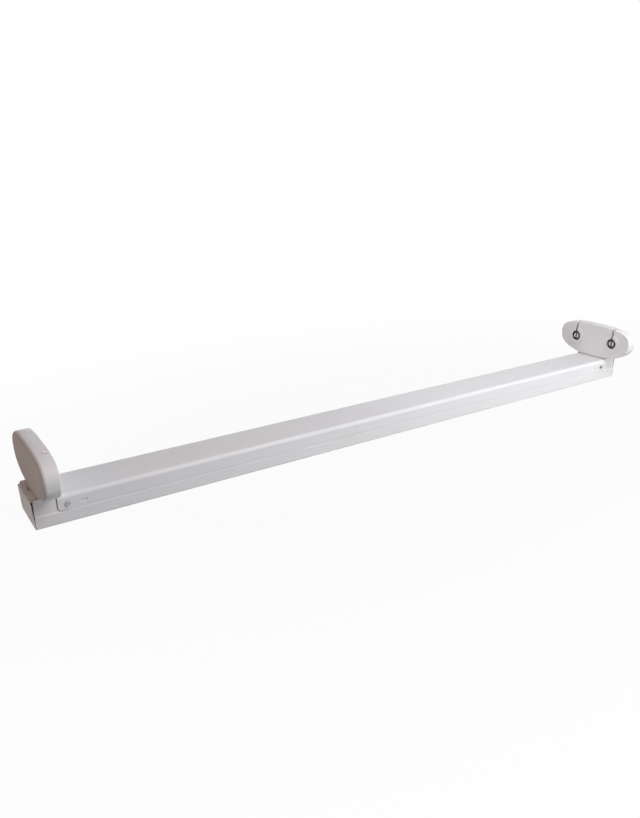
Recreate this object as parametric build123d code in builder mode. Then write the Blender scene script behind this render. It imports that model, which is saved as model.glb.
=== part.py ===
from build123d import *
from math import copysign, cos, pi, sin
import os

# Twin tube batten, lying on its mounting face with the lampholders up.
# Millimetres. X runs along the fixture, Z points from the mounting face to the lamps,
# and the origin is the middle of the mounting face.

# Lamp positions
lamp_gap = 897.0
tube_pitch = 70.0
socket_rise = 29.3
pin_circle = 12.7

# Base channel
channel_width = 58.0
channel_sheet = 0.8
channel_bend = 1.4
end_overhang = 24.0
ledge_height = 13.6
ledge_rise = 1.2
shelf_drop = 0.1
shelf_setback = 0.4
shelf_side_gap = 1.0
tab_relief = 1.6
tab_lean = 1.8
tab_root = 8.0
ear_gap = 1.0
ear_room = 0.5
ear_radius = 1.5
fixing_spacing = 600.0
fixing_hole_radius = 2.7
cable_hole_radius = 8.0

# Cover
cover_height = 32.5
cover_sheet = 0.7
cover_side_gap = 0.2
cover_end_gap = 0.5
shoulder_radius = 5.0
flange_corner = 4.0
flange_rest = 0.15
cover_screw_inset = 10.5
cover_screw_drop = 5.5
dent_inset = 27.0
dent_drop = 6.0
dent_length = 8.0
dent_width = 2.6
dent_depth = 0.9
dent_gap = 0.5

# Lampholders
holder_side = 31.5
holder_crown = 25.4
holder_lift = 0.4
upper_fullness = 3.2
lower_fullness = 2.2
outline_points = 32
holder_depth = 18.4
shell_depth = 11.0
face_wall = 1.6
rim_wall = 1.8
face_edge = 1.0
back_edge = 4.0
back_wall = 1.8
lip_length = 1.5
lip_wall = 1.2
seat_rim = 6.15
seat_height = 1.2
seat_edge = 0.5
groove_width = 4.0
groove_depth = 8.0
entry_width = 3.0
entry_lip = 2.2
sleeve_wall = 2.2
sleeve_end = 9.4
channel_wall = 1.2
foot_side_gap = 0.8
foot_thickness = 2.5
foot_setback = 1.5
foot_end_gap = 1.6
foot_slot_length = 12.0
foot_slot_width = 2.2
foot_slot_gap = 0.6
spigot_gap = 0.4
spigot_wall = 1.2
spigot_drop = 2.0
boss_inset = 5.5
boss_radius = 3.2
boss_height = 10.3

# Rotors
rotor_setback = 0.4
disc_lip = 0.65
disc_thickness = 1.3
stub_radius = 2.4
stub_length = 4.4
bearing_wall = 1.8

# Contacts
contact_sheet = 0.5
contact_depth = 6.4
contact_start = 3.2
contact_width = 4.0
contact_reach = 0.15
contact_leg = 2.3
contact_gap = 1.65
contact_bar = 3.0
pin_radius = 1.2

# Screws
screw_radius = 1.45
screw_head_radius = 2.8
screw_head_height = 1.8
screw_head_edge = 0.8
screw_recess_length = 3.6
screw_recess_width = 0.8
screw_recess_depth = 0.9
cover_screw_length = 6.5
holder_screw_length = 9.5

# Terminal block
terminal_x = 69.0
terminal_length = 18.0
terminal_margin = 1.5
terminal_height = 14.0
terminal_pitch = 9.0
terminal_axis = 5.2
insert_length = 14.0
insert_size = 6.4
wire_way_room = 0.8
clamp_radius = 1.4
clamp_spacing = 8.0
clamp_slot = 0.7
clamp_slot_depth = 0.8
clamp_head_room = 1.5
lug_width = 8.0
lug_height = 8.0

# Earth point
earth_x = 104.2
earth_offset = 16.8
earth_height = 8.0
earth_lug_height = 13.0
ring_radius = 4.0
ring_sheet = 0.8
ring_neck = 3.0
barrel_wall = 0.75
barrel_length = 5.8
barrel_gap = 0.6
neck_lap = 1.0
washer_radius = 4.2
washer_thickness = 0.8
earth_screw_radius = 2.0
earth_head_radius = 3.8
earth_head_height = 2.4
earth_recess_length = 5.0
earth_tail = 1.6
nut_flats = 7.0
nut_thickness = 3.2

# Wires and cable entry
wire_radius = 0.9
wire_gap = 0.4
neutral_lane = 10.5
lane_spacing = 3.0
lane_inset = 2.7
climb_height = 6.0
wire_turn = 9.0
earth_turn = 5.5
turn_gap = 0.7
bushing_bore_radius = 5.0
bushing_flange_radius = 10.5
bushing_flange = 1.8

# Clearances
running_gap = 0.1
stub_gap = 0.05
screw_gap = 0.05
slip_gap = 0.1
wide_gap = 0.3
touch_gap = 0.05

# Sizes that follow from the ones above
half_gap = lamp_gap / 2
half_width = channel_width / 2
end_x = half_gap + end_overhang
wall_inset = cover_sheet + cover_side_gap
wall_height = cover_height - shoulder_radius
shelf_height = cover_height - cover_sheet - shelf_drop
ear_side = half_width - wall_inset - channel_sheet
shelf_width = 2 * (ear_side - shelf_side_gap)
socket_height = shelf_height + socket_rise
cover_half = half_gap - cover_end_gap
flange_bottom = ledge_height + ledge_rise + flange_rest
cover_screw_height = wall_height - cover_screw_drop
dent_height = wall_height - dent_drop
holder_half_width = tube_pitch / 2 + holder_side
holder_top = socket_height + holder_crown
holder_bottom = shelf_height + holder_lift
ear_share = (ear_side / holder_half_width) ** lower_fullness
ear_drop = (socket_height - holder_bottom) * (1 - ear_share) ** (1 / lower_fullness)
ear_height = socket_height - ear_drop - ear_room
foot_width = shelf_width - 2 * foot_side_gap
foot_slot_depth = holder_depth + foot_slot_gap + foot_slot_width / 2
boss_spacing = foot_width - 2 * boss_inset
boss_top = shelf_height + boss_height
wire_spacing = 2 * wire_radius + wire_gap
spigot_bore = wire_spacing / 2 + wire_radius + spigot_gap
spigot_radius = spigot_bore + spigot_wall
foot_end = end_overhang - foot_end_gap
cavity_depth = seat_height + face_wall
groove_outer = pin_circle / 2 + groove_width / 2
island_radius = pin_circle / 2 - groove_width / 2
seat_radius = groove_outer + seat_rim
sleeve_radius = groove_outer + sleeve_wall
disc_radius = groove_outer + disc_lip
disc_back = groove_depth + disc_thickness
wire_depth = contact_depth - wire_radius - touch_gap
contact_inner = pin_circle / 2 + pin_radius - contact_reach
contact_outer = sleeve_radius + wide_gap + contact_leg
contact_drop = sleeve_radius + contact_gap + contact_bar
wire_end_height = socket_height - contact_drop + contact_bar / 2
floor_wire = channel_sheet + wire_radius + touch_gap
terminal_bottom = channel_sheet
terminal_width = 3 * terminal_pitch + 2 * terminal_margin
wire_way_width = 2 * wire_spacing
wire_way_height = 2 * wire_radius + wire_way_room
barrel_radius = wire_radius + touch_gap + barrel_wall
earth_y = -earth_offset
wire_way_axis = terminal_bottom + terminal_axis
cover_screw_x = cover_half - cover_screw_inset
dent_x = cover_half - dent_inset
socket_spots = {"front": -tube_pitch / 2, "back": tube_pitch / 2}
entry_share = (tube_pitch / 2 / holder_half_width) ** upper_fullness
entry_top = socket_height + holder_crown * (1 - entry_share) ** (1 / upper_fullness)
entry_floor = entry_top - entry_lip
lip_across = entry_width / 2 + entry_lip

# One plane per lampholder: its X axis lies across the fixture, its Y axis is up,
# and its Z axis points out of the end, with depth 0 on the lamp seats.
seats = {
    "left": Plane(origin=(-half_gap, 0, 0), x_dir=(0, -1, 0), z_dir=(-1, 0, 0)),
    "right": Plane(origin=(half_gap, 0, 0), x_dir=(0, 1, 0), z_dir=(1, 0, 0)),
}
end_signs = {"left": -1, "right": 1}

# One plane per long side: its Y axis is up and its Z axis points away from the fixture.
sides = [
    Plane(origin=(0, side * half_width, 0), x_dir=(-side, 0, 0), z_dir=(0, side, 0))
    for side in (-1, 1)
]
socket_centres = [(spot, socket_height) for spot in socket_spots.values()]
entry_middles = [(spot, socket_height + holder_crown / 2) for spot in socket_spots.values()]


def oval_outline(margin):
    """Points round a lampholder's oval outline, moved in by a margin."""
    points = []
    for step in range(outline_points):
        angle = 2 * pi * step / outline_points
        across = cos(angle)
        up = sin(angle)
        fullness = upper_fullness if up >= 0 else lower_fullness
        reach = holder_top - socket_height if up >= 0 else socket_height - holder_bottom
        points.append((
            (holder_half_width - margin) * copysign(abs(across) ** (2 / fullness), across),
            socket_height + (reach - margin) * copysign(abs(up) ** (2 / fullness), up),
        ))
    return points


os.makedirs("parts", exist_ok=True)

# Base channel: a folded trough whose upper walls step in under the cover
with BuildPart() as base_channel:
    low_wall = half_width - channel_sheet / 2
    high_wall = low_wall - wall_inset
    with BuildSketch(Plane.YZ):
        with BuildLine():
            FilletPolyline(
                (-high_wall, ear_height),
                (-high_wall, ledge_height + ledge_rise),
                (-low_wall, ledge_height),
                (-low_wall, channel_sheet / 2),
                (low_wall, channel_sheet / 2),
                (low_wall, ledge_height),
                (high_wall, ledge_height + ledge_rise),
                (high_wall, ear_height),
                radius=channel_bend,
            )
        trace(line_width=channel_sheet)
    extrude(amount=end_x - channel_sheet, both=True)
    fillet(base_channel.edges().filter_by(Axis.Y).group_by(Axis.Z)[-1], radius=ear_radius)

    # The walls are lower under the cover than beside the lampholders
    with BuildSketch(Plane.XZ):
        with Locations((0, (wall_height + ear_height) / 2 + ear_gap / 2)):
            Rectangle(2 * (cover_half + ear_gap), ear_height - wall_height + ear_gap)
    extrude(amount=channel_width, both=True, mode=Mode.SUBTRACT)

    # End tabs, folded up from the floor and in again as the lampholders' shelves
    for sign in end_signs.values():
        tab_x = end_x - channel_sheet / 2
        with BuildSketch(Plane.XZ):
            with BuildLine():
                FilletPolyline(
                    (sign * (tab_x - tab_root), channel_sheet / 2),
                    (sign * tab_x, channel_sheet / 2),
                    (sign * (tab_x + tab_lean), shelf_height - channel_sheet / 2),
                    (sign * (half_gap + shelf_setback), shelf_height - channel_sheet / 2),
                    radius=channel_bend,
                )
            trace(line_width=channel_sheet)
        extrude(amount=shelf_width / 2, both=True)

        # Each tab widens between its bends and covers the ends of the walls
        tab_line = [
            (sign * tab_x, channel_sheet / 2),
            (sign * (tab_x + tab_lean), shelf_height - channel_sheet / 2),
        ]
        tab_edges = {
            shelf_height - tab_relief: half_width - wall_inset,
            ledge_height - tab_relief: half_width - slip_gap,
        }
        for tab_top, tab_half in tab_edges.items():
            with BuildSketch(Plane.XZ):
                with BuildLine():
                    Line(*tab_line)
                trace(line_width=channel_sheet)
                with Locations((sign * tab_x, (tab_top + channel_bend + channel_sheet) / 2)):
                    Rectangle(tab_root, tab_top - channel_bend - channel_sheet, mode=Mode.INTERSECT)
            extrude(amount=tab_half, both=True)

    # Holes in the shelves for the wire spigots and the holder screws
    for sign in end_signs.values():
        with BuildSketch(Plane.XY.offset(shelf_height)):
            with Locations((sign * (half_gap + wire_depth), 0)):
                Circle(spigot_radius + slip_gap)
                with Locations((0, -boss_spacing / 2), (0, boss_spacing / 2)):
                    Circle(screw_radius + slip_gap)
        extrude(amount=-2 * channel_sheet, mode=Mode.SUBTRACT)

    # Holes in the walls for the cover screws and the pressed dents
    for side in sides:
        with BuildSketch(side):
            with Locations((-cover_screw_x, cover_screw_height), (cover_screw_x, cover_screw_height)):
                Circle(screw_radius + screw_gap)
            with Locations((-dent_x, dent_height), (dent_x, dent_height)):
                SlotOverall(
                    dent_length + 2 * cover_sheet + 2 * dent_gap,
                    dent_width + 2 * cover_sheet + 2 * dent_gap,
                )
        extrude(amount=-wall_inset - 2 * channel_sheet, mode=Mode.SUBTRACT)

    # Holes in the floor for fixing and for the cable
    with BuildSketch(Plane.XY):
        with GridLocations(fixing_spacing, 0, 2, 1):
            Circle(fixing_hole_radius)
        Circle(cable_hole_radius)
    extrude(amount=channel_sheet, mode=Mode.SUBTRACT)

    # Lugs cut from the floor and bent up: two hold the terminal block, one is the earth point
    lug_y = terminal_width / 2 + slip_gap
    for sign in (-1, 1):
        with BuildSketch(Plane.XY):
            with Locations((terminal_x, sign * (lug_y - lug_height / 2))):
                Rectangle(lug_width, lug_height)
        extrude(amount=channel_sheet, mode=Mode.SUBTRACT)
        with BuildSketch(Plane.XY):
            with Locations((terminal_x, sign * (lug_y + channel_sheet / 2))):
                Rectangle(lug_width, channel_sheet)
        extrude(amount=channel_sheet + lug_height)
    earth_lug_y = earth_y - ring_sheet / 2 - channel_sheet / 2
    with BuildSketch(Plane.XY):
        with Locations((earth_x, earth_lug_y + channel_sheet / 2 + earth_lug_height / 2)):
            Rectangle(lug_width, earth_lug_height)
    extrude(amount=channel_sheet, mode=Mode.SUBTRACT)
    with BuildSketch(Plane.XY):
        with Locations((earth_x, earth_lug_y)):
            Rectangle(lug_width, channel_sheet)
    extrude(amount=channel_sheet + earth_lug_height)
    with BuildSketch(Plane.XZ.offset(-earth_lug_y)):
        with Locations((earth_x, earth_height)):
            Circle(earth_screw_radius + slip_gap)
    extrude(amount=channel_sheet, both=True, mode=Mode.SUBTRACT)
base_channel.part.label = "base_channel"
export_step(base_channel.part, "parts/base_channel.step")

# Cover: an inverted trough, flush with the lower part of the channel walls
with BuildPart() as cover:
    flange = half_width - cover_sheet / 2
    with BuildSketch(Plane.YZ):
        with BuildLine():
            FilletPolyline(
                (-flange, flange_bottom),
                (-flange, cover_height - cover_sheet / 2),
                (flange, cover_height - cover_sheet / 2),
                (flange, flange_bottom),
                radius=shoulder_radius - cover_sheet / 2,
            )
        trace(line_width=cover_sheet)
    extrude(amount=cover_half, both=True)
    fillet(cover.edges().filter_by(Axis.Y).group_by(Axis.Z)[0], radius=flange_corner)
    for side in sides:
        with BuildSketch(side.offset(-cover_sheet)):
            with Locations((-dent_x, dent_height), (dent_x, dent_height)):
                SlotOverall(dent_length + 2 * cover_sheet, dent_width + 2 * cover_sheet)
        extrude(amount=-dent_depth)
        with BuildSketch(side):
            with Locations((-dent_x, dent_height), (dent_x, dent_height)):
                SlotOverall(dent_length, dent_width)
        extrude(amount=-dent_depth, mode=Mode.SUBTRACT)
        with BuildSketch(side):
            with Locations((-cover_screw_x, cover_screw_height), (cover_screw_x, cover_screw_height)):
                Circle(screw_radius + slip_gap)
        extrude(amount=-cover_sheet, mode=Mode.SUBTRACT)
cover.part.label = "cover"
export_step(cover.part, "parts/cover.step")

# Cover screws: one near each end of each flange
with BuildPart() as cover_screws:
    for side in sides:
        spots = [(-cover_screw_x, cover_screw_height), (cover_screw_x, cover_screw_height)]
        with BuildSketch(side):
            with Locations(*spots):
                Circle(screw_head_radius)
        extrude(amount=screw_head_height)
        with BuildSketch(side):
            with Locations(*spots):
                Circle(screw_radius)
        extrude(amount=-cover_screw_length)
        with BuildSketch(side.offset(screw_head_height)):
            with Locations(*spots):
                Rectangle(screw_recess_length, screw_recess_width)
                Rectangle(screw_recess_width, screw_recess_length)
        extrude(amount=-screw_recess_depth, mode=Mode.SUBTRACT)
    heads = cover_screws.faces().filter_by(GeomType.PLANE).filter_by(Axis.Y)
    outer = heads.group_by(Axis.Y)[0] + heads.group_by(Axis.Y)[-1]
    rims = outer.edges().filter_by(GeomType.CIRCLE)
    fillet(rims, radius=screw_head_edge)
cover_screws.part.label = "cover_screws"
export_step(cover_screws.part, "parts/cover_screws.step")

# Lampholders: the same mouldings at both ends, turned half round
for end, seat in seats.items():
    sign = end_signs[end]
    wire_x = sign * (half_gap + wire_depth)

    # Front shell: an oval cup with two raised lamp seats, pin entries and a foot
    with BuildPart() as holder_shell:
        with BuildSketch(seat.offset(seat_height)):
            with BuildLine():
                Spline(*oval_outline(0), periodic=True)
            make_face()
        extrude(amount=shell_depth - seat_height)
        fillet(holder_shell.edges().sort_by(Axis(seat.origin, seat.z_dir))[0], radius=face_edge)
        with BuildSketch(seat.offset(cavity_depth)):
            with BuildLine():
                Spline(*oval_outline(rim_wall), periodic=True)
            make_face()
        extrude(amount=shell_depth, mode=Mode.SUBTRACT)
        with BuildSketch(seat):
            with Locations(*socket_centres):
                Circle(seat_radius)
        extrude(amount=seat_height + face_wall / 2)
        fillet(
            holder_shell.edges().group_by(Axis(seat.origin, seat.z_dir))[0],
            radius=seat_edge,
        )
        with BuildSketch(seat.offset(cavity_depth - face_wall / 2)):
            with Locations(*socket_centres):
                Circle(sleeve_radius)
        extrude(amount=sleeve_end - cavity_depth + face_wall / 2)

        # Walls that guide the lamp pins from the top edge to each sleeve
        with BuildSketch(seat.offset(cavity_depth - face_wall / 2)):
            with Locations(*entry_middles):
                Rectangle(entry_width + 2 * channel_wall, holder_crown)
            with Locations(*[(spot, entry_floor) for spot in socket_spots.values()]):
                Rectangle(2 * (lip_across + channel_wall), 2 * channel_wall)
            with BuildLine():
                Spline(*oval_outline(rim_wall / 2), periodic=True)
            make_face(mode=Mode.INTERSECT)
        extrude(amount=groove_depth + channel_wall - cavity_depth + face_wall / 2)

        # Foot on the shelf, with a slot behind the back shell
        with BuildSketch(seat.offset(seat_height + foot_setback)):
            with Locations((0, shelf_height + foot_thickness / 2)):
                Rectangle(foot_width, foot_thickness)
        extrude(amount=foot_end - seat_height - foot_setback)
        with BuildSketch(Plane.XY.offset(shelf_height)):
            with Locations((sign * (half_gap + foot_slot_depth), 0)):
                Rectangle(foot_slot_width, foot_slot_length)
        extrude(amount=foot_thickness, mode=Mode.SUBTRACT)

        # Wire spigot and screw bosses
        with BuildSketch(Plane.XY.offset(shelf_height - spigot_drop)):
            with Locations((wire_x, 0)):
                Circle(spigot_radius)
        extrude(amount=spigot_drop + foot_thickness)
        with BuildSketch(Plane.XY.offset(shelf_height - spigot_drop)):
            with Locations((wire_x, 0)):
                Circle(spigot_bore)
        extrude(amount=spigot_drop + 2 * foot_thickness, mode=Mode.SUBTRACT)
        with BuildSketch(Plane.XY.offset(shelf_height + foot_thickness / 2)):
            with Locations((wire_x, -boss_spacing / 2), (wire_x, boss_spacing / 2)):
                Circle(boss_radius)
        extrude(amount=boss_top - shelf_height - foot_thickness / 2)
        with BuildSketch(Plane.XY.offset(shelf_height)):
            with Locations((wire_x, -boss_spacing / 2), (wire_x, boss_spacing / 2)):
                Circle(screw_radius + screw_gap)
        extrude(amount=holder_screw_length, mode=Mode.SUBTRACT)

        # Pin grooves, the rotors' bearings behind them, and the entries with rounded lips
        with BuildSketch(seat):
            with Locations(*socket_centres):
                Circle(groove_outer)
        extrude(amount=sleeve_end, mode=Mode.SUBTRACT)
        with BuildSketch(seat.offset(groove_depth - running_gap)):
            with Locations(*socket_centres):
                Circle(disc_radius + running_gap)
        extrude(amount=sleeve_end, mode=Mode.SUBTRACT)
        with BuildSketch(seat):
            with Locations(*[(spot, entry_floor) for spot in socket_spots.values()]):
                with Locations((0, entry_lip)):
                    Rectangle(2 * lip_across, 2 * entry_lip)
                with Locations((-lip_across, 0), (lip_across, 0)):
                    Circle(entry_lip, mode=Mode.SUBTRACT)
            with Locations(*entry_middles):
                Rectangle(entry_width, holder_crown)
        extrude(amount=groove_depth - running_gap, mode=Mode.SUBTRACT)

        # Windows in the sleeves for the contacts
        with BuildSketch(seat.offset(cavity_depth)):
            with Locations(*socket_centres):
                Rectangle(2 * sleeve_radius + 2 * wide_gap, contact_width + 2 * slip_gap)
        extrude(amount=contact_depth + contact_sheet + slip_gap - cavity_depth, mode=Mode.SUBTRACT)
    holder_shell.part.label = f"{end}_holder_shell"
    export_step(holder_shell.part, f"parts/{end}_holder_shell.step")

    # Back shell: a shallow rounded cap with a lip inside the front shell
    with BuildPart() as holder_back:
        with BuildSketch(seat.offset(shell_depth)):
            with BuildLine():
                Spline(*oval_outline(0), periodic=True)
            make_face()
        extrude(amount=holder_depth - shell_depth)
        fillet(holder_back.edges().sort_by(Axis(seat.origin, seat.z_dir))[-1], radius=back_edge)
        with BuildSketch(seat.offset(shell_depth - lip_length)):
            with BuildLine():
                Spline(*oval_outline(rim_wall + slip_gap), periodic=True)
            make_face()
        extrude(amount=2 * lip_length)
        with BuildSketch(seat.offset(shell_depth - lip_length)):
            with BuildLine():
                Spline(*oval_outline(rim_wall + slip_gap + lip_wall), periodic=True)
            make_face()
        extrude(amount=holder_depth - back_wall - shell_depth + lip_length, mode=Mode.SUBTRACT)
        with BuildSketch(seat.offset(disc_back + running_gap)):
            with Locations(*socket_centres):
                Circle(stub_radius + stub_gap + bearing_wall)
        extrude(amount=holder_depth - back_wall / 2 - disc_back - running_gap)
        with BuildSketch(seat.offset(disc_back + running_gap)):
            with Locations(*socket_centres):
                Circle(stub_radius + stub_gap)
        extrude(amount=stub_length, mode=Mode.SUBTRACT)
        with BuildSketch(seat.offset(shell_depth - lip_length)):
            with Locations((0, shelf_height + foot_thickness / 2)):
                Rectangle(foot_width + 2 * slip_gap, foot_thickness + 2 * slip_gap)
        extrude(amount=holder_depth, mode=Mode.SUBTRACT)
    holder_back.part.label = f"{end}_holder_back"
    export_step(holder_back.part, f"parts/{end}_holder_back.step")

    for spot, across in socket_spots.items():
        centre = (sign * across, socket_height)

        # Rotor: a split post on a disc, turned by the lamp pins
        with BuildPart() as rotor:
            with BuildSketch(seat.offset(rotor_setback)):
                with Locations(centre):
                    Circle(island_radius)
                    Rectangle(entry_width, 2 * island_radius, mode=Mode.SUBTRACT)
            extrude(amount=groove_depth - rotor_setback)
            with BuildSketch(seat.offset(groove_depth)):
                with Locations(centre):
                    Circle(disc_radius)
            extrude(amount=disc_thickness)
            with BuildSketch(seat.offset(disc_back)):
                with Locations(centre):
                    Circle(stub_radius)
            extrude(amount=stub_length)
        rotor.part.label = f"{end}_{spot}_rotor"
        export_step(rotor.part, f"parts/{end}_{spot}_rotor.step")

        # Contact: a flat bronze U under the sleeve with a blade at each side of the groove
        with BuildPart() as contact:
            top = contact_width / 2
            with BuildSketch(seat.offset(contact_depth)):
                with Locations(centre):
                    with Locations((0, (top - contact_drop) / 2)):
                        Rectangle(2 * contact_outer, top + contact_drop)
                    with Locations((0, (top - contact_drop + contact_bar) / 2)):
                        Rectangle(
                            2 * (contact_outer - contact_leg),
                            top + contact_drop - contact_bar,
                            mode=Mode.SUBTRACT,
                        )
                    tab_length = contact_outer - contact_inner
                    tab_middle = (contact_outer + contact_inner) / 2
                    with Locations((-tab_middle, 0), (tab_middle, 0)):
                        Rectangle(tab_length, contact_width)
            extrude(amount=contact_sheet)
            with BuildSketch(seat.offset(contact_start)):
                with Locations(centre):
                    blade_middle = contact_inner + contact_sheet / 2
                    with Locations((-blade_middle, 0), (blade_middle, 0)):
                        Rectangle(contact_sheet, contact_width)
            extrude(amount=contact_depth + contact_sheet - contact_start)
        contact.part.label = f"{end}_{spot}_contact"
        export_step(contact.part, f"parts/{end}_{spot}_contact.step")

# Holder screws: up through the shelves into the bosses
with BuildPart() as holder_screws:
    for sign in end_signs.values():
        wire_x = sign * (half_gap + wire_depth)
        spots = [(wire_x, -boss_spacing / 2), (wire_x, boss_spacing / 2)]
        with BuildSketch(Plane.XY.offset(shelf_height - channel_sheet - screw_head_height)):
            with Locations(*spots):
                Circle(screw_head_radius)
        extrude(amount=screw_head_height)
        with BuildSketch(Plane.XY.offset(shelf_height - channel_sheet)):
            with Locations(*spots):
                Circle(screw_radius)
        extrude(amount=holder_screw_length)
        with BuildSketch(Plane.XY.offset(shelf_height - channel_sheet - screw_head_height)):
            with Locations(*spots):
                Rectangle(screw_recess_length, screw_recess_width)
                Rectangle(screw_recess_width, screw_recess_length)
        extrude(amount=screw_recess_depth, mode=Mode.SUBTRACT)
holder_screws.part.label = "holder_screws"
export_step(holder_screws.part, "parts/holder_screws.step")

# Cable bushing: a flanged edge guard in the floor, flush with the mounting face
with BuildPart() as cable_bushing:
    with BuildSketch(Plane.XY):
        Circle(cable_hole_radius - slip_gap)
    extrude(amount=channel_sheet)
    with BuildSketch(Plane.XY.offset(channel_sheet)):
        Circle(bushing_flange_radius)
    extrude(amount=bushing_flange)
    fillet(cable_bushing.edges().group_by(Axis.Z)[-1], radius=bushing_flange / 2)
    with BuildSketch(Plane.XY):
        Circle(bushing_bore_radius)
    extrude(amount=channel_sheet + bushing_flange, mode=Mode.SUBTRACT)
cable_bushing.part.label = "cable_bushing"
export_step(cable_bushing.part, "parts/cable_bushing.step")

# Terminal block: three poles side by side, with wire ways along X and clamp screws from above
pole_spots = [(0, -terminal_pitch), (0, 0), (0, terminal_pitch)]
clamp_spots = [(x, y) for _, y in pole_spots for x in (-clamp_spacing / 2, clamp_spacing / 2)]
terminal_plane = Plane(origin=(terminal_x, 0, terminal_bottom))
way_plane = Plane(origin=(terminal_x, 0, wire_way_axis), x_dir=(0, 1, 0), z_dir=(1, 0, 0))
way_spots = [(y, 0) for _, y in pole_spots]
with BuildPart() as terminal_block:
    with BuildSketch(terminal_plane):
        Rectangle(terminal_length, terminal_width)
    extrude(amount=terminal_height)
    fillet(terminal_block.edges().filter_by(Axis.Z), radius=channel_bend)
    with BuildSketch(way_plane):
        with Locations(*way_spots):
            Rectangle(insert_size + 2 * touch_gap, insert_size + 2 * touch_gap)
    extrude(amount=terminal_length, both=True, mode=Mode.SUBTRACT)
    with BuildSketch(terminal_plane.offset(terminal_height)):
        with Locations(*clamp_spots):
            Circle(clamp_radius + 2 * slip_gap)
    extrude(amount=terminal_axis - terminal_height, mode=Mode.SUBTRACT)
terminal_block.part.label = "terminal_block"
export_step(terminal_block.part, "parts/terminal_block.step")

with BuildPart() as terminal_inserts:
    with BuildSketch(way_plane):
        with Locations(*way_spots):
            Rectangle(insert_size, insert_size)
            Rectangle(wire_way_width, wire_way_height, mode=Mode.SUBTRACT)
    extrude(amount=insert_length / 2, both=True)
    with BuildSketch(terminal_plane.offset(terminal_axis)):
        with Locations(*clamp_spots):
            Circle(clamp_radius + screw_gap)
    extrude(amount=terminal_height, mode=Mode.SUBTRACT)
terminal_inserts.part.label = "terminal_inserts"
export_step(terminal_inserts.part, "parts/terminal_inserts.step")

with BuildPart() as terminal_screws:
    with BuildSketch(terminal_plane.offset(terminal_axis + wire_way_height / 2)):
        with Locations(*clamp_spots):
            Circle(clamp_radius)
    extrude(amount=terminal_height - clamp_head_room - terminal_axis - wire_way_height / 2)
    with BuildSketch(terminal_plane.offset(terminal_height - clamp_head_room)):
        with Locations(*clamp_spots):
            Rectangle(2 * clamp_radius, clamp_slot)
    extrude(amount=-clamp_slot_depth, mode=Mode.SUBTRACT)
terminal_screws.part.label = "terminal_screws"
export_step(terminal_screws.part, "parts/terminal_screws.step")

# Earth point: ring terminal, washer, screw and nut on the earth lug, stacked along Y
earth_plane = Plane(origin=(earth_x, earth_y, earth_height), x_dir=(1, 0, 0), z_dir=(0, -1, 0))
barrel_end = earth_x - ring_radius - barrel_gap
neck_start = barrel_end - neck_lap
with BuildPart() as earth_ring:
    with BuildSketch(earth_plane):
        Circle(ring_radius)
        with Locations(((neck_start - earth_x) / 2, 0)):
            Rectangle(earth_x - neck_start, ring_neck)
        Circle(earth_screw_radius + slip_gap, mode=Mode.SUBTRACT)
    extrude(amount=ring_sheet / 2, both=True)
    with BuildSketch(Plane(origin=(barrel_end, earth_y, earth_height), z_dir=(1, 0, 0))):
        Circle(barrel_radius)
        Circle(wire_radius + touch_gap, mode=Mode.SUBTRACT)
    extrude(amount=-barrel_length)
earth_ring.part.label = "earth_ring"
export_step(earth_ring.part, "parts/earth_ring.step")

with BuildPart() as earth_washer:
    with BuildSketch(earth_plane.offset(-ring_sheet / 2)):
        Circle(washer_radius)
        Circle(earth_screw_radius + slip_gap, mode=Mode.SUBTRACT)
    extrude(amount=-washer_thickness)
earth_washer.part.label = "earth_washer"
export_step(earth_washer.part, "parts/earth_washer.step")

earth_grip = washer_thickness + ring_sheet + channel_sheet + nut_thickness
with BuildPart() as earth_screw:
    with BuildSketch(earth_plane.offset(-ring_sheet / 2 - washer_thickness)):
        Circle(earth_head_radius)
    extrude(amount=-earth_head_height)
    with BuildSketch(earth_plane.offset(-ring_sheet / 2 - washer_thickness - earth_head_height)):
        Rectangle(earth_recess_length, screw_recess_width)
        Rectangle(screw_recess_width, earth_recess_length)
    extrude(amount=screw_recess_depth, mode=Mode.SUBTRACT)
    with BuildSketch(earth_plane.offset(-ring_sheet / 2 - washer_thickness)):
        Circle(earth_screw_radius)
    extrude(amount=earth_grip + earth_tail)
earth_screw.part.label = "earth_screw"
export_step(earth_screw.part, "parts/earth_screw.step")

with BuildPart() as earth_nut:
    with BuildSketch(earth_plane.offset(ring_sheet / 2 + channel_sheet)):
        RegularPolygon(nut_flats / 2, 6, major_radius=False)
        Circle(earth_screw_radius + screw_gap, mode=Mode.SUBTRACT)
    extrude(amount=nut_thickness)
earth_nut.part.label = "earth_nut"
export_step(earth_nut.part, "parts/earth_nut.step")

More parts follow.
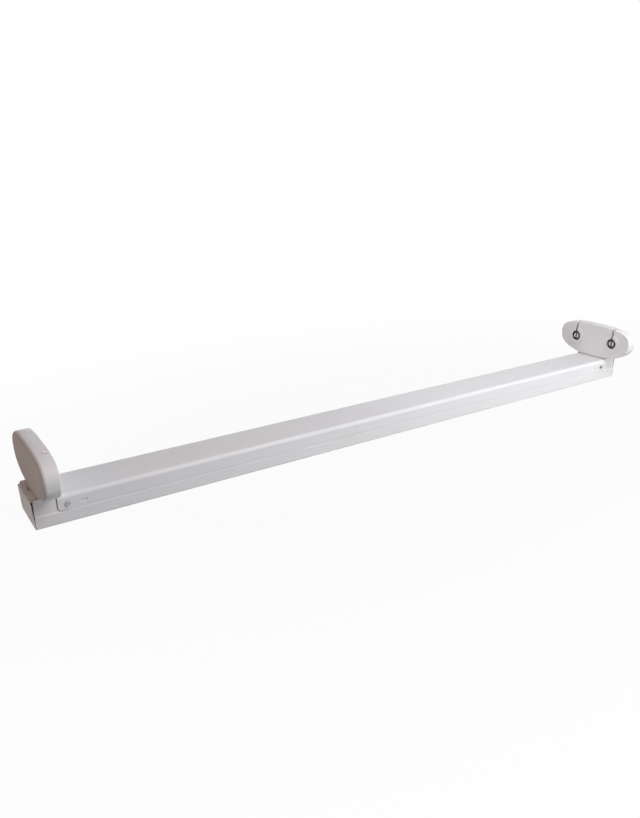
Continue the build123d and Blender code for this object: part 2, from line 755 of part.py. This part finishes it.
# Wires: from the terminal block along the floor, up through the spigots to the contact bars
wire_start = terminal_x - clamp_spacing / 2
exit_x = terminal_x + terminal_length / 2
way_offset = wire_spacing / 2 - touch_gap
spigot_offset = wire_spacing / 2
live_lane = half_width - channel_sheet - lane_inset - lane_spacing
short_turn = (live_lane - terminal_pitch - way_offset) / 2 - turn_gap
right_x = half_gap + wire_depth
left_x = -right_x
front_end = -tube_pitch / 2 + wire_spacing
back_end = tube_pitch / 2 - wire_spacing
routes = {
    "neutral_wire_front": [
        (wire_start, -way_offset, wire_way_axis),
        (exit_x + 7, -way_offset, wire_way_axis),
        (exit_x + 19, neutral_lane, floor_wire),
        (right_x - 30, neutral_lane, floor_wire),
        (right_x, -spigot_offset, climb_height),
        (right_x, -spigot_offset, wire_end_height),
        (right_x, front_end, wire_end_height),
    ],
    "neutral_wire_back": [
        (wire_start, way_offset, wire_way_axis),
        (exit_x + 6, way_offset, wire_way_axis),
        (exit_x + 18.3, neutral_lane + lane_spacing, floor_wire),
        (right_x - 28, neutral_lane + lane_spacing, floor_wire),
        (right_x, spigot_offset, climb_height),
        (right_x, spigot_offset, wire_end_height),
        (right_x, back_end, wire_end_height),
    ],
    "live_wire_front": [
        (wire_start, terminal_pitch + way_offset, wire_way_axis),
        (exit_x + 7, terminal_pitch + way_offset, wire_way_axis),
        (exit_x + 7, live_lane, floor_wire),
        (left_x + 50, live_lane, floor_wire),
        (left_x, -spigot_offset, climb_height),
        (left_x, -spigot_offset, wire_end_height),
        (left_x, front_end, wire_end_height),
    ],
    "live_wire_back": [
        (wire_start, terminal_pitch - way_offset, wire_way_axis),
        (exit_x + 10, terminal_pitch - way_offset, wire_way_axis),
        (exit_x + 10, live_lane + lane_spacing, floor_wire),
        (left_x + 48, live_lane + lane_spacing, floor_wire),
        (left_x, spigot_offset, climb_height),
        (left_x, spigot_offset, wire_end_height),
        (left_x, back_end, wire_end_height),
    ],
    "earth_wire": [
        (wire_start, -terminal_pitch, wire_way_axis),
        (exit_x + 3, -terminal_pitch, wire_way_axis),
        (exit_x + 11, earth_y, earth_height),
        (neck_start - touch_gap, earth_y, earth_height),
    ],
}
turns = {
    "neutral_wire_front": [wire_turn] * 5,
    "neutral_wire_back": [wire_turn] * 5,
    "live_wire_front": [short_turn, short_turn, wire_turn, wire_turn, wire_turn],
    "live_wire_back": [short_turn, short_turn, wire_turn, wire_turn, wire_turn],
    "earth_wire": [earth_turn, earth_turn],
}
for name, route in routes.items():
    with BuildPart() as wire:
        with BuildLine() as path:
            FilletPolyline(*route, radius=turns[name])
        with BuildSketch(Plane(origin=path.line @ 0, z_dir=path.line % 0)):
            Circle(wire_radius)
        sweep(path=path.line)
    length = path.wire().length
    fill = wire.part.volume / (pi * wire_radius**2 * length)
    print(name, "length", round(length, 1), "volume ratio", round(fill, 4))
    wire.part.label = name
    export_step(wire.part, f"parts/{name}.step")
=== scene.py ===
from math import radians

import bpy
from mathutils import Matrix, Vector


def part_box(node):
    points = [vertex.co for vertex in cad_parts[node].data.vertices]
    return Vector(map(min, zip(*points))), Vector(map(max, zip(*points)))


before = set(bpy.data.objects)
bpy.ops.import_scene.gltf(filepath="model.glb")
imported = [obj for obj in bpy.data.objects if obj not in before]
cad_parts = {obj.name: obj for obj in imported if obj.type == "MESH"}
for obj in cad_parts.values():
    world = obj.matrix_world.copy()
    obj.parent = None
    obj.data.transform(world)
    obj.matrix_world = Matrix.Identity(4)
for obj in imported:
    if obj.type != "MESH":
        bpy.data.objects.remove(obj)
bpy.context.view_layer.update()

# Camera, in metres and in pixels of the photograph's frame
picture_width = 640
picture_height = 818
sensor_height = 24.0
focal_pixels = 731.2
centre_pixel = (327.4, 400.0)
camera_place = Vector((-0.5941, -0.7449, 0.3758))
camera_forward = Vector((0.5264, 0.7825, -0.3325))
camera_right = Vector((0.8297, -0.5582, 0.0001))

# Painted shade in the sockets, pin slits and rotors, in metres, with depths measured from the lamp
# seats
half_gap = 0.4485
socket_height = 0.061
socket_across = 0.035
groove_radius = 0.0086
groove_blur = 0.0004
groove_start = 0.0014
groove_end = 0.0096
slit_half_width = 0.0015
slit_margin = 0.0001
slit_blur = 0.0002
slit_start = 0.0016
slit_share = 0.4
rotor_shade_start = 0.0008
rotor_shade_end = 0.0040

# Outline of the cover and the painted shadow line in the seam round its ends, in metres
cover_low, cover_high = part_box("cover")
cover_corner = 0.004
outline_slack = 0.00005
seam_shadow_width = 0.0013
seam_shadow_solid = 0.25 * seam_shadow_width
seam_shadow_reach = 0.016
seam_shadow_share = 0.75

# Radii by which the finishes round sharp edges, in metres
broad_edge = 0.0004
rotor_edge = 0.0003
small_edge = 0.00025

# Most of a noise lies between these values
noise_low = 0.3
noise_high = 0.7

# Floor, in metres: half its side, and the oval patch round the object that keeps the shadow
floor_half_side = 30.0
patch_shape = (0.6, 1.0, 0.0)
patch_start = 0.22
patch_end = 0.65
patch_white = 0.95

# Light of the room: the way to its bright side, and how far a direction leans that way
bright_way = (0.93, -0.2, 0.3)
dim_lean = -0.5
bright_lean = 0.9
dim_side = (0.070, 0.054, 0.043)
bright_side = (0.33, 0.33, 0.35)

# Colours of the floor and of the white finishes
plain_white = (1.0, 1.0, 1.0)
floor_dark = (0.30, 0.30, 0.30)
floor_pale = (0.32, 0.32, 0.32)
sheet_cool = (0.735, 0.735, 0.755)
sheet_pale = (0.775, 0.772, 0.780)
sheet_mottle = (0.70, 0.70, 0.715)
sheet_dust = (0.66, 0.645, 0.63)
# Painted shadow line in the seam round the cover's ends
seam_painted_shadow = (0.12, 0.12, 0.125)
plastic_cool = (0.750, 0.742, 0.762)
plastic_pale = (0.790, 0.780, 0.796)
plastic_grain = (0.70, 0.69, 0.705)
# Painted shade in the pin slits and in the socket grooves
slit_painted_shade = (0.20, 0.195, 0.195)
socket_painted_shade = (0.16, 0.155, 0.155)
rotor_worn = (0.66, 0.65, 0.64)
rotor_pale = (0.76, 0.75, 0.74)
# Painted shade deep inside the rotors
rotor_painted_shade = (0.17, 0.165, 0.16)

# Metals and plain plastics: first and second colour, lowest and highest roughness
metals = {
    "steel": ((0.46, 0.46, 0.47), (0.30, 0.30, 0.32), (0.30, 0.48)),
    "brass": ((0.80, 0.62, 0.30), (0.62, 0.46, 0.22), (0.25, 0.42)),
    "bronze": ((0.34, 0.22, 0.13), (0.22, 0.15, 0.09), (0.40, 0.58)),
    "tinned_copper": ((0.72, 0.71, 0.69), (0.58, 0.56, 0.54), (0.26, 0.44)),
}
plastics = {
    "black_plastic": ((0.035, 0.035, 0.036), (0.05, 0.05, 0.05), (0.42, 0.60)),
    "clear_plastic": ((0.78, 0.77, 0.72), (0.70, 0.69, 0.64), (0.30, 0.45)),
    "brown_insulation": ((0.16, 0.07, 0.03), (0.20, 0.09, 0.04), (0.40, 0.55)),
    "blue_insulation": ((0.03, 0.11, 0.42), (0.04, 0.14, 0.48), (0.40, 0.55)),
    "green_insulation": ((0.12, 0.36, 0.07), (0.40, 0.42, 0.05), (0.40, 0.55)),
}

# The CAD nodes that each finish goes on
ends = ("left", "right")
spots = ("front", "back")
finishes = {
    "white_sheet": ["base_channel", "cover"],
    "white_plastic": [f"{end}_holder_shell" for end in ends],
    "matt_plastic": [f"{end}_holder_back" for end in ends],
    "rotor_plastic": [f"{end}_{spot}_rotor" for end in ends for spot in spots],
    "black_plastic": ["cable_bushing"],
    "clear_plastic": ["terminal_block"],
    "steel": ["cover_screws", "holder_screws", "terminal_screws", "earth_washer"],
    "brass": ["terminal_inserts", "earth_screw", "earth_nut"],
    "bronze": [f"{end}_{spot}_contact" for end in ends for spot in spots],
    "tinned_copper": ["earth_ring"],
    "brown_insulation": [f"live_wire_{spot}" for spot in spots],
    "blue_insulation": [f"neutral_wire_{spot}" for spot in spots],
    "green_insulation": ["earth_wire"],
}

scene = bpy.context.scene
scene.view_settings.view_transform = "Standard"


def aim(place, target):
    """A matrix that stands at a place and looks along its own -Z at a target."""
    turn = (Vector(target) - Vector(place)).to_track_quat("-Z", "Y")
    return Matrix.Translation(place) @ turn.to_matrix().to_4x4()


def add_camera():
    """The camera at the photograph's viewpoint."""
    data = bpy.data.cameras.new("camera")
    data.sensor_fit = "VERTICAL"
    data.sensor_height = sensor_height
    data.lens = focal_pixels / picture_height * sensor_height
    data.shift_x = (picture_width / 2 - centre_pixel[0]) / picture_height
    data.shift_y = (centre_pixel[1] - picture_height / 2) / picture_height
    data.clip_start = 0.01
    camera = bpy.data.objects.new("camera", data)
    scene.collection.objects.link(camera)
    forward = camera_forward.normalized()
    right = (camera_right - camera_right.dot(forward) * forward).normalized()
    up = right.cross(forward)
    axes = Matrix((right, up, -forward)).transposed()
    camera.matrix_world = Matrix.Translation(camera_place) @ axes.to_4x4()
    scene.camera = camera


def add_softbox(name, place, target, size, power, colour, spread=180.0, mirrored=False):
    """A rectangular studio lamp, with its beam's full angle in degrees and whether gloss shows it."""
    data = bpy.data.lights.new(name, "AREA")
    data.shape = "RECTANGLE"
    data.size = size[0]
    data.size_y = size[1]
    data.energy = power
    data.color = colour
    data.spread = radians(spread)
    lamp = bpy.data.objects.new(name, data)
    scene.collection.objects.link(lamp)
    lamp.matrix_world = aim(place, target)
    lamp.visible_glossy = mirrored


class Tree:
    """A small helper that adds and links the nodes of one material or world."""

    def __init__(self, tree):
        self.nodes = tree.nodes
        self.links = tree.links
        self.nodes.clear()

    def feed(self, socket, entry):
        """Links an input to another node's output, or gives it a value of its own."""
        if isinstance(entry, bpy.types.NodeSocket):
            self.links.new(entry, socket)
        elif socket.type == "RGBA":
            socket.default_value = (*entry, 1.0)
        else:
            socket.default_value = entry

    def feed_all(self, node, entries):
        """Feeds a node's first inputs in order."""
        for socket, entry in zip(node.inputs, entries):
            self.feed(socket, entry)

    def add(self, kind, **inputs):
        """A new node, with its inputs fed by name, where _ stands for a space."""
        node = self.nodes.new(kind)
        for key, entry in inputs.items():
            self.feed(node.inputs[key.replace("_", " ")], entry)
        return node

    def show(self, shader, output="ShaderNodeOutputMaterial"):
        """Makes a shader the one that is rendered."""
        self.add(output, Surface=shader)

    def principled(self, **inputs):
        """The shader of an ordinary surface."""
        return self.add("ShaderNodeBsdfPrincipled", **inputs).outputs["BSDF"]

    def blend(self, share, first, second):
        """Blends two shaders."""
        node = self.nodes.new("ShaderNodeMixShader")
        self.feed_all(node, (share, first, second))
        return node.outputs["Shader"]

    def mix(self, share, first, second):
        """Blends two colours."""
        node = self.nodes.new("ShaderNodeMix")
        node.data_type = "RGBA"
        entries = {"Factor_Float": share, "A_Color": first, "B_Color": second}
        for socket in node.inputs:
            if socket.identifier in entries:
                self.feed(socket, entries[socket.identifier])
        return next(o for o in node.outputs if o.identifier == "Result_Color")

    def math(self, operation, *values):
        """One arithmetic step on one or two values."""
        node = self.nodes.new("ShaderNodeMath")
        node.operation = operation
        self.feed_all(node, values)
        return node.outputs["Value"]

    def product(self, first, *others):
        """Several values multiplied together."""
        for other in others:
            first = self.math("MULTIPLY", first, other)
        return first

    def diagonal(self, first, second):
        """The length of the diagonal over two sides at right angles."""
        squares = [self.math("POWER", side, 2.0) for side in (first, second)]
        return self.math("SQRT", self.math("ADD", *squares))

    def remap(self, value, low, high, start=0.0, end=1.0):
        """Takes low to start and high to end, and holds beyond them."""
        node = self.nodes.new("ShaderNodeMapRange")
        self.feed_all(node, (value, low, high, start, end))
        return node.outputs["Result"]

    def vector_math(self, operation, *vectors):
        """The outputs of one arithmetic step on one or two vectors."""
        node = self.nodes.new("ShaderNodeVectorMath")
        node.operation = operation
        self.feed_all(node, vectors)
        return node.outputs

    def place(self):
        """The point in the object's own coordinates, in metres."""
        return self.nodes.new("ShaderNodeTexCoord").outputs["Object"]

    def parts(self, vector):
        """The three coordinates of a point."""
        return self.add("ShaderNodeSeparateXYZ", Vector=vector).outputs

    def noise(self, place, scale, detail, roughness=0.5):
        """Soft noise from 0 to 1, with one scale for all axes or a scale for each."""
        if isinstance(scale, tuple):
            place = self.vector_math("MULTIPLY", place, scale)["Vector"]
            scale = 1.0
        inputs = {"Vector": place, "Scale": scale, "Detail": detail, "Roughness": roughness}
        return self.add("ShaderNodeTexNoise", **inputs).outputs["Fac"]

    def range_of(self, noise, start, end):
        """Takes the usual range of a noise to the range from start to end."""
        return self.remap(noise, noise_low, noise_high, start, end)

    def bump(self, height, strength, distance, under):
        """A surface normal raised by a height, on top of another normal."""
        inputs = {"Height": height, "Strength": strength, "Distance": distance, "Normal": under}
        return self.add("ShaderNodeBump", **inputs).outputs["Normal"]

    def rounded(self, radius):
        """A surface normal that rounds sharp edges."""
        node = self.add("ShaderNodeBevel", Radius=radius)
        node.samples = 4
        return node.outputs["Normal"]


def new_material(name):
    """A node material and its empty tree."""
    material = bpy.data.materials.new(name)
    material.use_nodes = True
    return material, Tree(material.node_tree)


def seat_depth(tree, x):
    """How far a point lies behind the lamp seat of its end."""
    return tree.math("SUBTRACT", tree.math("ABSOLUTE", x), half_gap)


def cover_seam_shadow(tree, place):
    """1 in the painted shadow line of the seam round the ends of the cover's flanges, 0 away from it.
    """
    x, _, z = tree.parts(place)
    along = tree.math("SUBTRACT", tree.math("ABSOLUTE", x), cover_high[0] - cover_corner)
    down = tree.math("SUBTRACT", cover_low[2] + cover_corner, z)
    along_out = tree.math("MAXIMUM", along, 0.0)
    down_out = tree.math("MAXIMUM", down, 0.0)
    outside = tree.math("SUBTRACT", tree.diagonal(along_out, down_out), cover_corner)
    beyond_edge = tree.math("GREATER_THAN", outside, -outline_slack)
    fade = tree.remap(outside, seam_shadow_solid, seam_shadow_width, 1.0, 0.0)
    near_end = tree.remap(along, cover_corner - seam_shadow_reach, 0.0)
    return tree.product(beyond_edge, fade, near_end)


def painted_socket_shade(tree, place):
    """Two masks of painted shade on a holder: one for the grooves of its sockets and one for its pin
    slits.
    """
    x, y, z = tree.parts(place)
    depth = seat_depth(tree, x)
    in_front = tree.math("LESS_THAN", depth, groove_end)
    across = tree.math("SUBTRACT", tree.math("ABSOLUTE", y), socket_across)
    up = tree.math("SUBTRACT", z, socket_height)
    reach = tree.diagonal(across, up)
    inside = tree.remap(reach, groove_radius, groove_radius + groove_blur, 1.0, 0.0)
    groove_depth = tree.remap(depth, groove_start, 2 * groove_start)
    side = slit_half_width + slit_margin
    narrow = tree.remap(tree.math("ABSOLUTE", across), side, side + slit_blur, 1.0, 0.0)
    above = tree.math("GREATER_THAN", up, 0.0)
    slit_depth = tree.remap(depth, slit_start, 2 * slit_start, 0.0, slit_share)
    groove_shade = tree.product(inside, groove_depth, in_front)
    slit_shade = tree.product(narrow, above, slit_depth, in_front)
    return groove_shade, slit_shade


def powder_coat():
    """White powder coat on folded sheet: orange peel, faint waves, a little dust and a painted shadow
    line in the seam round the cover's ends.
    """
    material, tree = new_material("white_sheet")
    place = tree.place()
    drift = tree.noise(place, (3.0, 14.0, 14.0), detail=3.0)
    mottle = tree.noise(place, 420.0, detail=2.0)
    dust = tree.noise(place, (18.0, 60.0, 60.0), detail=4.0, roughness=0.6)
    waves = tree.noise(place, (4.0, 22.0, 22.0), detail=1.0)
    peel = tree.noise(place, 900.0, detail=1.5)
    patches = tree.noise(place, 55.0, detail=3.0)
    # Painted shadow line in the seam round the cover's ends, mixed into the base colour below
    seam_shadow = tree.product(cover_seam_shadow(tree, place), seam_shadow_share)
    base = tree.mix(drift, sheet_cool, sheet_pale)
    base = tree.mix(tree.remap(mottle, low=0.35, high=0.7, end=0.25), base, sheet_mottle)
    base = tree.mix(tree.remap(dust, low=0.56, high=0.78, end=0.35), base, sheet_dust)
    base = tree.mix(seam_shadow, base, seam_painted_shadow)
    normal = tree.rounded(broad_edge)
    normal = tree.bump(waves, strength=0.35, distance=0.0012, under=normal)
    normal = tree.bump(peel, strength=0.16, distance=0.00025, under=normal)
    roughness = tree.range_of(patches, 0.36, 0.50)
    tree.show(tree.principled(
        Base_Color=base, Roughness=roughness, Normal=normal, Specular_IOR_Level=0.26,
    ))
    return material


def moulded_white(name, low_roughness, high_roughness, texture, gloss):
    """White moulded plastic: spark texture, flow and sink marks, and painted shade in the sockets and
    pin slits.
    """
    material, tree = new_material(name)
    place = tree.place()
    flow = tree.noise(place, (30.0, 16.0, 40.0), detail=3.0)
    grain = tree.noise(place, 2600.0, detail=1.0)
    sink = tree.noise(place, 38.0, detail=1.0)
    patches = tree.noise(place, 120.0, detail=2.0)
    groove_shade, slit_shade = painted_socket_shade(tree, place)
    base = tree.mix(flow, plastic_cool, plastic_pale)
    base = tree.mix(tree.range_of(grain, 0.0, 0.12), base, plastic_grain)
    # Painted shade in the pin slits and the socket grooves
    base = tree.mix(slit_shade, base, slit_painted_shade)
    base = tree.mix(groove_shade, base, socket_painted_shade)
    normal = tree.rounded(broad_edge)
    normal = tree.bump(sink, strength=0.2, distance=0.0008, under=normal)
    normal = tree.bump(grain, strength=texture, distance=0.00012, under=normal)
    roughness = tree.range_of(patches, low_roughness, high_roughness)
    tree.show(tree.principled(
        Base_Color=base, Roughness=roughness, Normal=normal, Specular_IOR_Level=gloss,
    ))
    return material


def rotor_plastic():
    """Off-white moulded plastic of the turning posts, rubbed by the lamp pins, with painted shade
    deeper inside.
    """
    material, tree = new_material("rotor_plastic")
    place = tree.place()
    depth = seat_depth(tree, tree.parts(place)["X"])
    rub = tree.noise(place, (90.0, 700.0, 700.0), detail=3.0)
    grain = tree.noise(place, 2200.0, detail=1.0)
    base = tree.mix(rub, rotor_worn, rotor_pale)
    # Painted shade that grows with depth behind the lamp seat
    base = tree.mix(tree.remap(depth, rotor_shade_start, rotor_shade_end), base, rotor_painted_shade)
    normal = tree.bump(grain, strength=0.12, distance=0.00012, under=tree.rounded(rotor_edge))
    roughness = tree.range_of(rub, 0.36, 0.52)
    tree.show(tree.principled(Base_Color=base, Roughness=roughness, Normal=normal))
    return material


def plated_metal(name, light, dark, roughness_range):
    """Plated or rolled metal with fine drawn lines and small stains."""
    material, tree = new_material(name)
    place = tree.place()
    lines = tree.noise(place, (300.0, 300.0, 2400.0), detail=2.0)
    stains = tree.noise(place, 240.0, detail=4.0, roughness=0.6)
    base = tree.mix(tree.remap(stains, low=0.35, high=0.75), light, dark)
    normal = tree.bump(lines, strength=0.12, distance=0.0001, under=tree.rounded(small_edge))
    roughness = tree.range_of(lines, *roughness_range)
    tree.show(tree.principled(Base_Color=base, Roughness=roughness, Normal=normal, Metallic=1.0))
    return material


def plain_plastic(name, first, second, roughness_range):
    """Moulded plastic or wire insulation with a fine grain and slow colour drift."""
    material, tree = new_material(name)
    place = tree.place()
    drift = tree.noise(place, 60.0, detail=3.0)
    grain = tree.noise(place, 1800.0, detail=1.0)
    base = tree.mix(drift, first, second)
    normal = tree.bump(grain, strength=0.15, distance=0.00015, under=tree.rounded(small_edge))
    roughness = tree.range_of(grain, *roughness_range)
    tree.show(tree.principled(Base_Color=base, Roughness=roughness, Normal=normal))
    return material


def seen_directly(tree):
    """1 for camera, mirror and glass rays, 0 for the rays that carry light."""
    path = tree.nodes.new("ShaderNodeLightPath").outputs
    seen = tree.math("MAXIMUM", path["Is Camera Ray"], path["Is Glossy Ray"])
    return tree.math("MAXIMUM", seen, path["Is Transmission Ray"])


def add_floor():
    """A pale floor that keeps the object's shadow and turns plain white further out."""
    side = floor_half_side
    corners = [(-side, -side, 0), (side, -side, 0), (side, side, 0), (-side, side, 0)]
    mesh = bpy.data.meshes.new("floor")
    mesh.from_pydata(corners, [], [(0, 1, 2, 3)])
    floor = bpy.data.objects.new("floor", mesh)
    scene.collection.objects.link(floor)
    material, tree = new_material("floor")
    place = tree.place()
    specks = tree.noise(place, 40.0, detail=2.0)
    surface = tree.principled(Base_Color=tree.mix(specks, floor_dark, floor_pale), Roughness=0.9)
    glow = tree.add("ShaderNodeEmission", Color=plain_white, Strength=1.0).outputs["Emission"]
    oval = tree.vector_math("MULTIPLY", place, patch_shape)["Vector"]
    away = tree.vector_math("LENGTH", oval)["Value"]
    white = tree.remap(away, patch_start, patch_end, patch_white, 1.0)
    tree.show(tree.blend(tree.product(seen_directly(tree), white), surface, glow))
    mesh.materials.append(material)


def add_world():
    """Soft light from all round, dim and warm on the left, seen as plain white."""
    world = bpy.data.worlds.new("world")
    world.use_nodes = True
    scene.world = world
    tree = Tree(world.node_tree)
    direction = tree.nodes.new("ShaderNodeTexCoord").outputs["Generated"]
    lean = tree.vector_math("DOT_PRODUCT", direction, bright_way)["Value"]
    colour = tree.mix(tree.remap(lean, dim_lean, bright_lean), dim_side, bright_side)
    light = tree.add("ShaderNodeBackground", Color=colour, Strength=1.0).outputs["Background"]
    white = tree.add("ShaderNodeBackground", Color=plain_white, Strength=1.0).outputs["Background"]
    tree.show(tree.blend(seen_directly(tree), light, white), "ShaderNodeOutputWorld")


def add_lamps():
    """A window on the right, a softbox above, and weak fills for the far end, the left and the back."""
    add_softbox(
        "window", place=(0.72, -0.92, 0.21), target=(0.40, 0.0, 0.03),
        size=(0.6, 0.4), power=4.8, colour=(1.0, 0.99, 0.98),
    )
    add_softbox(
        "overhead", place=(0.24, -0.60, 0.82), target=(0.10, 0.0, 0.0),
        size=(1.0, 0.5), power=8.1, colour=(0.98, 0.98, 1.0), mirrored=True,
    )
    add_softbox(
        "far_fill", place=(-0.25, 0.0, 0.16), target=(0.45, 0.0, 0.08),
        size=(0.2, 0.1), power=0.082, colour=(1.0, 0.98, 1.0), spread=40.0,
    )
    add_softbox(
        "warm_card", place=(-1.10, -0.10, 0.50), target=(-0.47, 0.0, 0.05),
        size=(0.5, 0.5), power=0.8, colour=(1.0, 0.52, 0.28),
    )
    add_softbox(
        "back_fill", place=(0.20, 1.10, 0.05), target=(0.1, 0.0, 0.02),
        size=(1.4, 0.08), power=2.8, colour=plain_white,
    )


add_camera()
add_world()
add_floor()
add_lamps()

materials = {
    "white_sheet": powder_coat(),
    "white_plastic": moulded_white("white_plastic", 0.34, 0.48, texture=0.10, gloss=0.28),
    "matt_plastic": moulded_white("matt_plastic", 0.54, 0.68, texture=0.35, gloss=0.14),
    "rotor_plastic": rotor_plastic(),
}
for name, look in metals.items():
    materials[name] = plated_metal(name, *look)
for name, look in plastics.items():
    materials[name] = plain_plastic(name, *look)
for finish, nodes in finishes.items():
    for node in nodes:
        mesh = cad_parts[node].data
        mesh.materials.clear()
        mesh.materials.append(materials[finish])
